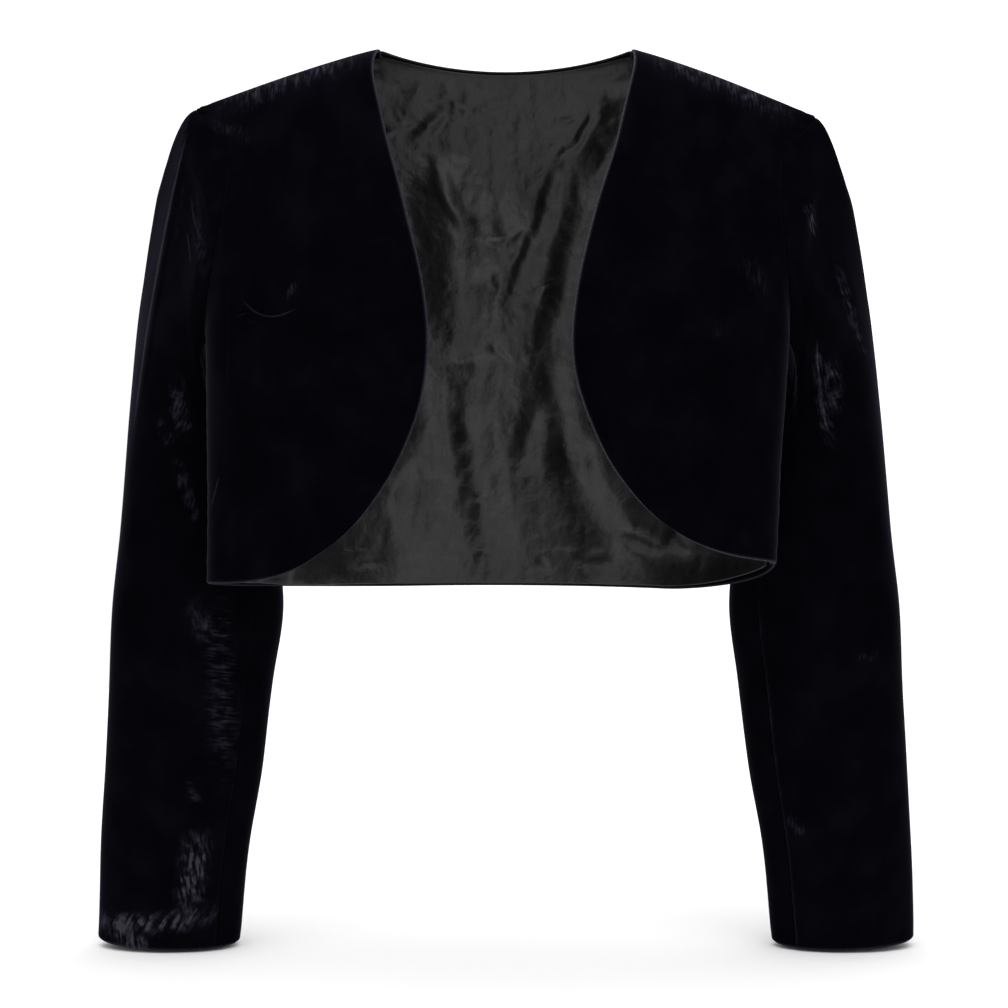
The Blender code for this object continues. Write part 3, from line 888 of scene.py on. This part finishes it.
def shell_quads(across, along):
    """Faces of a grid of points, of a second grid that follows it, and of the rim between the two."""
    count = across * along
    index = np.arange(count).reshape(across, along)
    corners = [index[:-1, :-1], index[1:, :-1], index[1:, 1:], index[:-1, 1:]]
    quads = np.stack(corners, axis=-1).reshape(-1, 4)
    loop = np.concatenate([index[:-1, 0], index[-1, :-1], index[:0:-1, -1], index[0, :0:-1]])
    after = np.roll(loop, -1)
    rim = np.stack([loop, loop + count, after + count, after], axis=-1)
    return np.concatenate([quads, quads[:, ::-1] + count, rim])


def add_shell(name, panel, wall, free_edges, turn_in, relief, inner_relief, marks):
    """A closed shell over a panel: its outer face, its inner face and the rim between them, edges rounded.

    The inner face takes the second material, but for the strips that are turned in at the edges.
    """
    full = wall_share(panel, free_edges)
    lined = np.ones(panel.x.shape, bool)
    for edge, width in turn_in.items():
        lined &= panel.edges[edge] > width
    outer = wall * (EDGE_MIDDLE + (1 - EDGE_MIDDLE) * full) + relief
    inner = wall * (EDGE_MIDDLE - EDGE_MIDDLE * full) + inner_relief
    faces = [panel.points + panel.outward * height[..., None] for height in (outer, inner)]
    quads = shell_quads(*panel.x.shape)
    corners = np.concatenate([face.reshape(-1, 3) for face in faces])
    sample = quads[panel.x.size // 2]
    a, b, c = corners[sample[:3]]
    if np.dot(np.cross(b - a, c - a), panel.outward.reshape(-1, 3)[sample[0]]) < 0:
        quads = quads[:, ::-1]
    mesh = bpy.data.meshes.new(name)
    mesh.from_pydata(corners * MM, [], quads)
    mesh.shade_smooth()
    inside = lined[:-1, :-1].ravel()
    second = np.zeros(len(quads), np.int32)
    second[len(inside):2 * len(inside)] = inside
    mesh.polygons.foreach_set("material_index", second)
    round_it = panel.across if name.startswith("sleeve") else GRAIN_REACH * np.arcsin(panel.x / GRAIN_REACH)
    down_it = panel.edges["end"] if name.startswith("sleeve") else -panel.z
    grain = np.stack([round_it, down_it, np.zeros_like(panel.x)], axis=-1).reshape(-1, 3) * MM
    stored = mesh.attributes.new("grain", "FLOAT_VECTOR", "POINT")
    stored.data.foreach_set("vector", np.tile(grain, (2, 1)).astype(np.float32).ravel())
    for mark, values in marks.items():
        stored = mesh.attributes.new(mark, "FLOAT", "POINT")
        stored.data.foreach_set("value", np.tile(values.ravel(), 2).astype(np.float32))
    return add_object(name, mesh)


def velvet_marks(node, panel, free_edges, lips, seen):
    """What the velvet shows besides its form: crushed places, thin lines, and painted sheen along edges and
    seams and in broad bands.
    """
    marks = {mark: np.zeros_like(panel.x) for mark in (*MARKS, "line", "line_side")}
    for mark, tables in MARKS.items():
        if node in tables:
            marks[mark] = np.maximum.reduce(list(stroke_values(panel.x, panel.z, tables[node]))) * seen
    edge = EDGE_LIGHT.get(node, PLAIN_EDGE_LIGHT) * np.exp(-(panel.rim(free_edges) / EDGE_LINE) ** 2)
    if node == "back":
        edge = edge * (1 - panel.shoulder())
    if node in SEAM_LIGHT:
        name, width, at_top, at_bottom = SEAM_LIGHT[node]
        down = (panel.z.max() - panel.z) / np.ptp(panel.z)
        past_lip = lips[name].reach_at(panel.points) if name in lips else 0.0
        gap = np.maximum(panel.edges[name] - past_lip, 0)
        strength = at_top + (at_bottom - at_top) * down ** 2
        edge = np.maximum(edge, strength * np.exp(-(gap / width) ** 2))
    # Painted sheen: a broad band where the sleeve turns away from the front
    if node in SHEEN_BANDS:
        sheen_band = sum(stroke_values(panel.x, panel.z, SHEEN_BANDS[node])) * facing(panel, node, *SHEEN_BAND_FACING)
        edge = np.maximum(edge, sheen_band)
    # The edge mark is painted sheen along free edges, seams and broad bands
    marks["edge"] = edge
    if node in LINES:
        marks["line_side"], strength = nearest_line(panel.x, panel.z, LINES[node])
        marks["line"] = strength * seen
    return marks


def velvet_piece(node, surface, cells, free_edges, seams, lips, turn_in):
    """A velvet panel: swells, creases, puckers by its seams, a line of painted sheen on its free edges, crush
    marks.
    """
    panel = Panel(surface, cells, GATHER, lips)
    inside = smooth_step(panel.rim() / RELIEF_START)
    seen = facing(panel, node, *STROKE_FACING)
    seed = len(node)
    relief = SWELL * panel.field(SWELL_LENGTH, SWELL_LENGTH, seed) * inside
    if node in CREASES:
        relief = relief + sum(stroke_values(panel.x, panel.z, CREASES[node])) * seen * inside
    for names in seams:
        relief = relief + puckers(panel, names)
    for edge, lip in lips.items():
        relief = relief - lip.sunk(panel.points, panel.edges[edge])
    inner_relief = np.maximum(relief, 0) if node == "back" else relief
    marks = velvet_marks(node, panel, free_edges, lips, seen)
    return add_shell(node + "_cloth", panel, VELVET, free_edges, turn_in, relief, inner_relief, marks)


def softened(values, rounds):
    """Grid values, each averaged with its neighbours this many times."""
    for _ in range(rounds):
        padded = np.pad(values, 1, mode="edge")
        values = (padded[2:, 1:-1] + padded[:-2, 1:-1] + padded[1:-1, 2:] + padded[1:-1, :-2]) / 4
    return values


def lining_piece():
    """The satin back lining, slack inside the back and lying in folds."""
    panel = Panel(lining_surface, LINING_CELLS, LINING_GATHER, {})
    held = smooth_step(panel.rim("first last end") / LINING_SLACK_REACH)
    loose = softened(held, SOFT_ROUNDS)
    x, z = (place + sum(reach * panel.field(length, length, length + i) for length, reach in LINING_WARPS)
            for i, place in enumerate((panel.x, panel.z)))
    folds = sum(stroke_values(x, z, LINING_STROKES))
    hem = LINING_HEM_DEPTH * np.exp(-((z - LINING_HEM_LINE) / LINING_HEM_WIDTH) ** 2)
    crumple = -sum(height * np.abs(panel.field(width, length, width))
                   for width, length, height in LINING_CRUMPLES)
    crumple = crumple * (1 + CRUMPLED_MORE * smooth_step((z - CRUMPLED_FROM) / (CRUMPLED_TO - CRUMPLED_FROM)))
    stand_off = np.maximum((LINING_SLACK + folds + crumple) * loose - hem, 0)
    inward = -(SEAM + LINING + stand_off)
    return add_shell("back_lining_cloth", panel, LINING, "", {}, inward, inward, {})


class Nodes:
    """A node tree that is filled one node at a time."""

    def __init__(self, tree):
        self.tree = tree

    def set(self, node, inputs):
        """Gives each named or numbered input a value, or links it to an output."""
        for key, value in inputs.items():
            if isinstance(value, bpy.types.NodeSocket):
                self.tree.links.new(value, node.inputs[key])
            else:
                node.inputs[key].default_value = value

    def add(self, kind, inputs, **settings):
        """A new node with its settings and inputs."""
        node = self.tree.nodes.new("ShaderNode" + kind)
        for key, value in settings.items():
            setattr(node, key, value)
        self.set(node, inputs)
        return node

    def mark(self, name, output="Fac"):
        """A number, or a Vector, that the mesh stores at its points."""
        return self.add("Attribute", {}, attribute_name=name).outputs[output]

    def noise(self, place, scale, detail, stretch=(1, 1, 1), turn=0.0):
        """Noise over the cut's own coordinates, from 0 to 1, turned and then stretched."""
        turned = self.add("Mapping", {"Vector": place, "Rotation": (0, 0, turn)}).outputs["Vector"]
        mapped = self.add("Mapping", {"Vector": turned, "Scale": stretch}).outputs["Vector"]
        return self.add("TexNoise", {"Vector": mapped, "Scale": scale, "Detail": detail}).outputs["Fac"]

    def math(self, operation, first, second):
        """A sum, product or other operation on two numbers."""
        return self.add("Math", {0: first, 1: second}, operation=operation).outputs[0]

    def range(self, value, read, become):
        """A number moved from one range to another, and kept inside it."""
        names = ("From Min", "From Max", "To Min", "To Max")
        inputs = {"Value": value, **dict(zip(names, (*read, *become)))}
        return self.add("MapRange", inputs).outputs["Result"]

    def cloud(self, place, scale, detail, read, become):
        """Noise of which one range is read and moved to another."""
        return self.range(self.noise(place, scale, detail), read, become)

    def ramp(self, value, stops):
        """A colour read from stops of (place, colour)."""
        node = self.add("ValToRGB", {"Fac": value})
        elements = node.color_ramp.elements
        while len(elements) < len(stops):
            elements.new(0.5)
        for element, (place, color) in zip(elements, stops):
            element.position = place
            element.color = (*color, 1)
        return node.outputs["Color"]

    def bumps(self, *layers):
        """A normal with layers of bumps, each with its height, its strength and its depth in metres."""
        above = {}
        for height, strength, depth in layers:
            bump = self.add("Bump", {"Height": height, "Strength": strength, "Distance": depth, **above})
            above = {"Normal": bump.outputs[0]}
        return above["Normal"]


def new_material(name):
    """A material, its node tree and its shader."""
    material = bpy.data.materials.new(name)
    material.use_nodes = True
    nodes = Nodes(material.node_tree)
    return material, nodes, nodes.tree.nodes["Principled BSDF"]


# Noise in the cloth: bumps per metre and detail, and for some the range that is read and the range it becomes
MOTTLE = (28, 4, (0.4, 0.75), (0, 0.10))
PATCHES = (130, 3, (0.38, 0.6), (0.15, 1))
FUZZ = (900, 2, (0.3, 0.7), (0.55, 1))
PILE = (1600, 2)
SATIN_ROUGHNESS = (60, 3, (0.3, 0.7), (0.31, 0.39))
CLOUDS = (22, 4)
CRINKLE = (150, 5)
CREASE = (48, 6)

# Noise that is stretched: its detail, and bumps per metre across and along the cut
THREADS = (3, (900, 110, 1))
WEAVE = (1, (3200, 500, 1))

# Streaks in each kind of crush mark, and in the painted shoulder sheen: bumps per metre across and along the
# cut, and the turn in radians
VELVET_STREAKS = (
    ("crush_and_sheen", (420, 90, 1), 0.0),
    ("ribs", (70, 420, 1), 0.12),
    ("bars", (330, 50, 1), 0.6),
)
STREAK_DETAIL = 3
STREAK_READ = (0.42, 0.62)
STREAK_BECOMES = (0.1, 1)

# Strength and depth in metres of each layer of bumps
PILE_BUMP = (0.35, 0.0004)
NAP_BUMP = (0.5, 0.0008)
WEAVE_BUMP = (0.15, 0.0001)
CRINKLE_BUMP = (0.45, 0.0012)
CREASE_BUMP = (0.45, 0.003)

# Colour of the velvet by how far its pile is laid over, from upright to crushed (1), and past that by painted
# sheen along edges, seams and bands
NAP_AND_SHEEN_COLORS = (
    (0.0, (0.0013, 0.0014, 0.0024)),
    (0.12, (0.0029, 0.0029, 0.0048)),
    (0.6, (0.016, 0.0155, 0.024)),
    (1.0, (0.034, 0.033, 0.040)),
    (1.6, (0.085, 0.083, 0.092)),
)
NAP_ROUGHNESS = (0.9, 0.6)

# Colour of the satin by the tone of its threads
SATIN_COLORS = (
    (0.35, (0.0015, 0.0015, 0.0017)),
    (0.65, (0.0115, 0.0115, 0.0119)),
)


def velvet_material():
    """Midnight velvet: near black down the pile, lilac where it is crushed, and lighter where sheen is
    painted along edges, seams, bands and shoulder ridges.
    """
    material, nodes, shader = new_material("velvet")
    grain = nodes.mark("grain", "Vector")
    patches = nodes.cloud(grain, *PATCHES)
    thin = nodes.range(nodes.math("ABSOLUTE", nodes.mark("line_side"), 0.0), (0, 1), (1, 0))
    lines = nodes.math("MULTIPLY", nodes.mark("line"), thin)
    # Painted sheen: the edge mark lightens the pile along edges, seams and broad bands, together with the
    # thin crushed lines
    lines_and_painted_sheen = nodes.math("MULTIPLY", nodes.math("ADD", nodes.mark("edge"), lines), nodes.cloud(grain, *FUZZ))
    crushed_and_sheen = nodes.cloud(grain, *MOTTLE)
    # The first kind of mark also carries the painted sheen on the shoulder ridges
    for mark, stretch, turn in VELVET_STREAKS:
        streaks = nodes.noise(grain, 1, STREAK_DETAIL, stretch, turn)
        streaks = nodes.range(streaks, STREAK_READ, STREAK_BECOMES)
        spots = nodes.math("MULTIPLY", nodes.mark(mark), nodes.math("MULTIPLY", streaks, patches))
        crushed_and_sheen = nodes.math("ADD", crushed_and_sheen, spots)
    nap_and_sheen = nodes.math("ADD", nodes.math("MINIMUM", crushed_and_sheen, 1.0), lines_and_painted_sheen)
    most = NAP_AND_SHEEN_COLORS[-1][0]
    stops = [(laid / most, color) for laid, color in NAP_AND_SHEEN_COLORS]
    nodes.set(shader, {
        "Base Color": nodes.ramp(nodes.math("DIVIDE", nap_and_sheen, most), stops),
        "Roughness": nodes.range(nap_and_sheen, (0, 1), NAP_ROUGHNESS),
        "Normal": nodes.bumps((nodes.noise(grain, *PILE), *PILE_BUMP), (nap_and_sheen, *NAP_BUMP)),
        "Specular IOR Level": 0.0,
        "Sheen Weight": 0.07,
        "Sheen Roughness": 0.3,
        "Sheen Tint": (0.76, 0.70, 1.0, 1),
    })
    return material


def satin_material():
    """Charcoal satin: fine threads, small crinkles and an uneven semi-gloss."""
    material, nodes, shader = new_material("satin")
    grain = nodes.mark("grain", "Vector")
    threads = nodes.noise(grain, 1, *THREADS)
    tone = nodes.math("MULTIPLY", nodes.math("ADD", nodes.noise(grain, *CLOUDS), threads), 0.5)
    normal = nodes.bumps(
        (nodes.noise(grain, 1, *WEAVE), *WEAVE_BUMP),
        (nodes.noise(grain, *CRINKLE), *CRINKLE_BUMP),
        (nodes.noise(grain, *CREASE), *CREASE_BUMP),
    )
    nodes.set(shader, {
        "Base Color": nodes.ramp(tone, SATIN_COLORS),
        "Roughness": nodes.cloud(grain, *SATIN_ROUGHNESS),
        "Normal": normal,
        "Specular IOR Level": 0.38,
        "Anisotropic": 0.3,
    })
    return material


# Camera and floor, in metres
CAMERA_PLACE = Vector((-0.0014, -2.2, -0.20))
CAMERA_AIM = Vector((-0.0014, 0.0, -0.3254))
VIEW_WIDTH = 0.7258
SENSOR = 36.0
FLOOR_HEIGHT = -0.6515
FLOOR_SIDE = 0.5
FLOOR_FRONT = -2.0
FLOOR_FAR = 12.0
FLOOR_COLOR = (0.84, 0.84, 0.84, 1)

# Light of the studio: the least from any side, and its bright sides with their strength and narrowness
WORLD_LIGHT = 0.05
WORLD_SIDES = (
    ((0.34, -0.93, 0.12), 1.75, 10),
    ((0, -0.2, 1), 2.3, 2.5),
    ((-0.9, 0.3, 0.3), 0.7, 2),
    ((0.4, 0.9, 0.35), 1.7, 3),
)


def add_camera():
    """The photograph's camera."""
    data = bpy.data.cameras.new("camera")
    data.sensor_width = SENSOR
    data.lens = SENSOR * (CAMERA_AIM - CAMERA_PLACE).length / VIEW_WIDTH
    camera = add_object("camera", data)
    camera.location = CAMERA_PLACE
    camera.rotation_euler = (CAMERA_AIM - CAMERA_PLACE).to_track_quat("-Z", "Y").to_euler()
    bpy.context.scene.camera = camera


def add_floor():
    """A plain pale floor just under the cuffs."""
    mesh = bpy.data.meshes.new("floor")
    side, front, far = FLOOR_SIDE, FLOOR_FRONT, FLOOR_FAR
    corners = [(-side, front, 0), (side, front, 0), (side, far, 0), (-side, far, 0)]
    mesh.from_pydata(corners, [], [(0, 1, 2, 3)])
    material, nodes, shader = new_material("floor")
    nodes.set(shader, {"Base Color": FLOOR_COLOR, "Roughness": 1.0, "Specular IOR Level": 0.0})
    mesh.materials.append(material)
    floor = add_object("floor", mesh)
    floor.location.z = FLOOR_HEIGHT


def add_world():
    """A white studio that gives soft light from its bright sides; the camera itself sees plain white."""
    world = bpy.data.worlds.new("studio")
    world.use_nodes = True
    nodes = Nodes(world.node_tree)
    direction = nodes.add("TexCoord", {}).outputs["Generated"]
    light = WORLD_LIGHT
    for toward, strength, power in WORLD_SIDES:
        ways = {0: direction, 1: Vector(toward).normalized()}
        dot = nodes.add("VectorMath", ways, operation="DOT_PRODUCT").outputs["Value"]
        lobe = nodes.math("POWER", nodes.math("MAXIMUM", dot, 0.0), power)
        light = nodes.math("ADD", nodes.math("MULTIPLY", lobe, strength), light)
    seen = nodes.add("LightPath", {}).outputs["Is Camera Ray"]
    background = nodes.tree.nodes["Background"]
    nodes.set(background, {"Color": (1, 1, 1, 1), "Strength": nodes.math("MAXIMUM", light, seen)})
    bpy.context.scene.world = world


# The rectangle that each cut fits in, in metres, and its flat area in square metres
CUTS = {
    "front": ((0.26, 0.42), 0.057),
    "top": ((0.30, 0.68), 0.122),
    "under": ((0.13, 0.62), 0.040),
    "back": ((0.55, 0.44), 0.187),
    "lining": ((0.52, 0.43), 0.174),
}


def dress(piece, node, materials, cut):
    """Gives a piece its materials, attaches it to the root body and hides its solid; its cut is looked up but
    not used.
    """
    for material in materials:
        piece.data.materials.append(material)
    flat, area = CUTS[cut]
    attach(piece, "root")
    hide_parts(node)


def add_front(side, name, materials):
    """One front, sewn to the back at its side and shoulder."""
    node = "front_" + name
    lips = {"last": SIDE_SEAM_LIP, "end": SHOULDER_LIP}
    cloth = velvet_piece(node, front_surface(side), FRONT_CELLS, FRONT_FREE, ["last"], lips, FRONT_TURN)
    dress(cloth, node, materials, "front")
    # The lining mirrors the bright side of the studio, not the left front that hangs close before it
    cloth.visible_glossy = side < 0


def add_sleeve(side, name, half, cells, materials):
    """One half of a sleeve; the under half runs on under the top half at both seams."""
    node = f"sleeve_{name}_{half}"
    lips = {"start": ARMHOLE_LIP}
    if half == "under":
        lips.update(first=SLEEVE_SEAM_LIP, last=SLEEVE_SEAM_LIP)
    surface = sleeve_surface(side, half)
    cloth = velvet_piece(node, surface, cells, SLEEVE_FREE, ["first last", "start"], lips, SLEEVE_TURN)
    dress(cloth, node, materials, half)


def add_back(materials):
    """The back, in one piece."""
    surface = back_surface(BACK_NECK_SOFTNESS)
    cloth = velvet_piece("back", surface, BACK_CELLS, BACK_FREE, ["first last"], {}, BACK_TURN)
    dress(cloth, "back", materials, "back")


add_camera()
add_world()
add_floor()

velvet = velvet_material()
satin = satin_material()

for side, name in ((-1, "right"), (1, "left")):
    add_front(side, name, [velvet, satin])
    add_sleeve(side, name, "top", SLEEVE_TOP_CELLS, [velvet, satin])
    add_sleeve(side, name, "under", SLEEVE_UNDER_CELLS, [velvet, satin])
add_back([velvet, satin])
dress(lining_piece(), "back_lining", [satin, satin], "lining")

bpy.context.scene.view_settings.view_transform = "Standard"
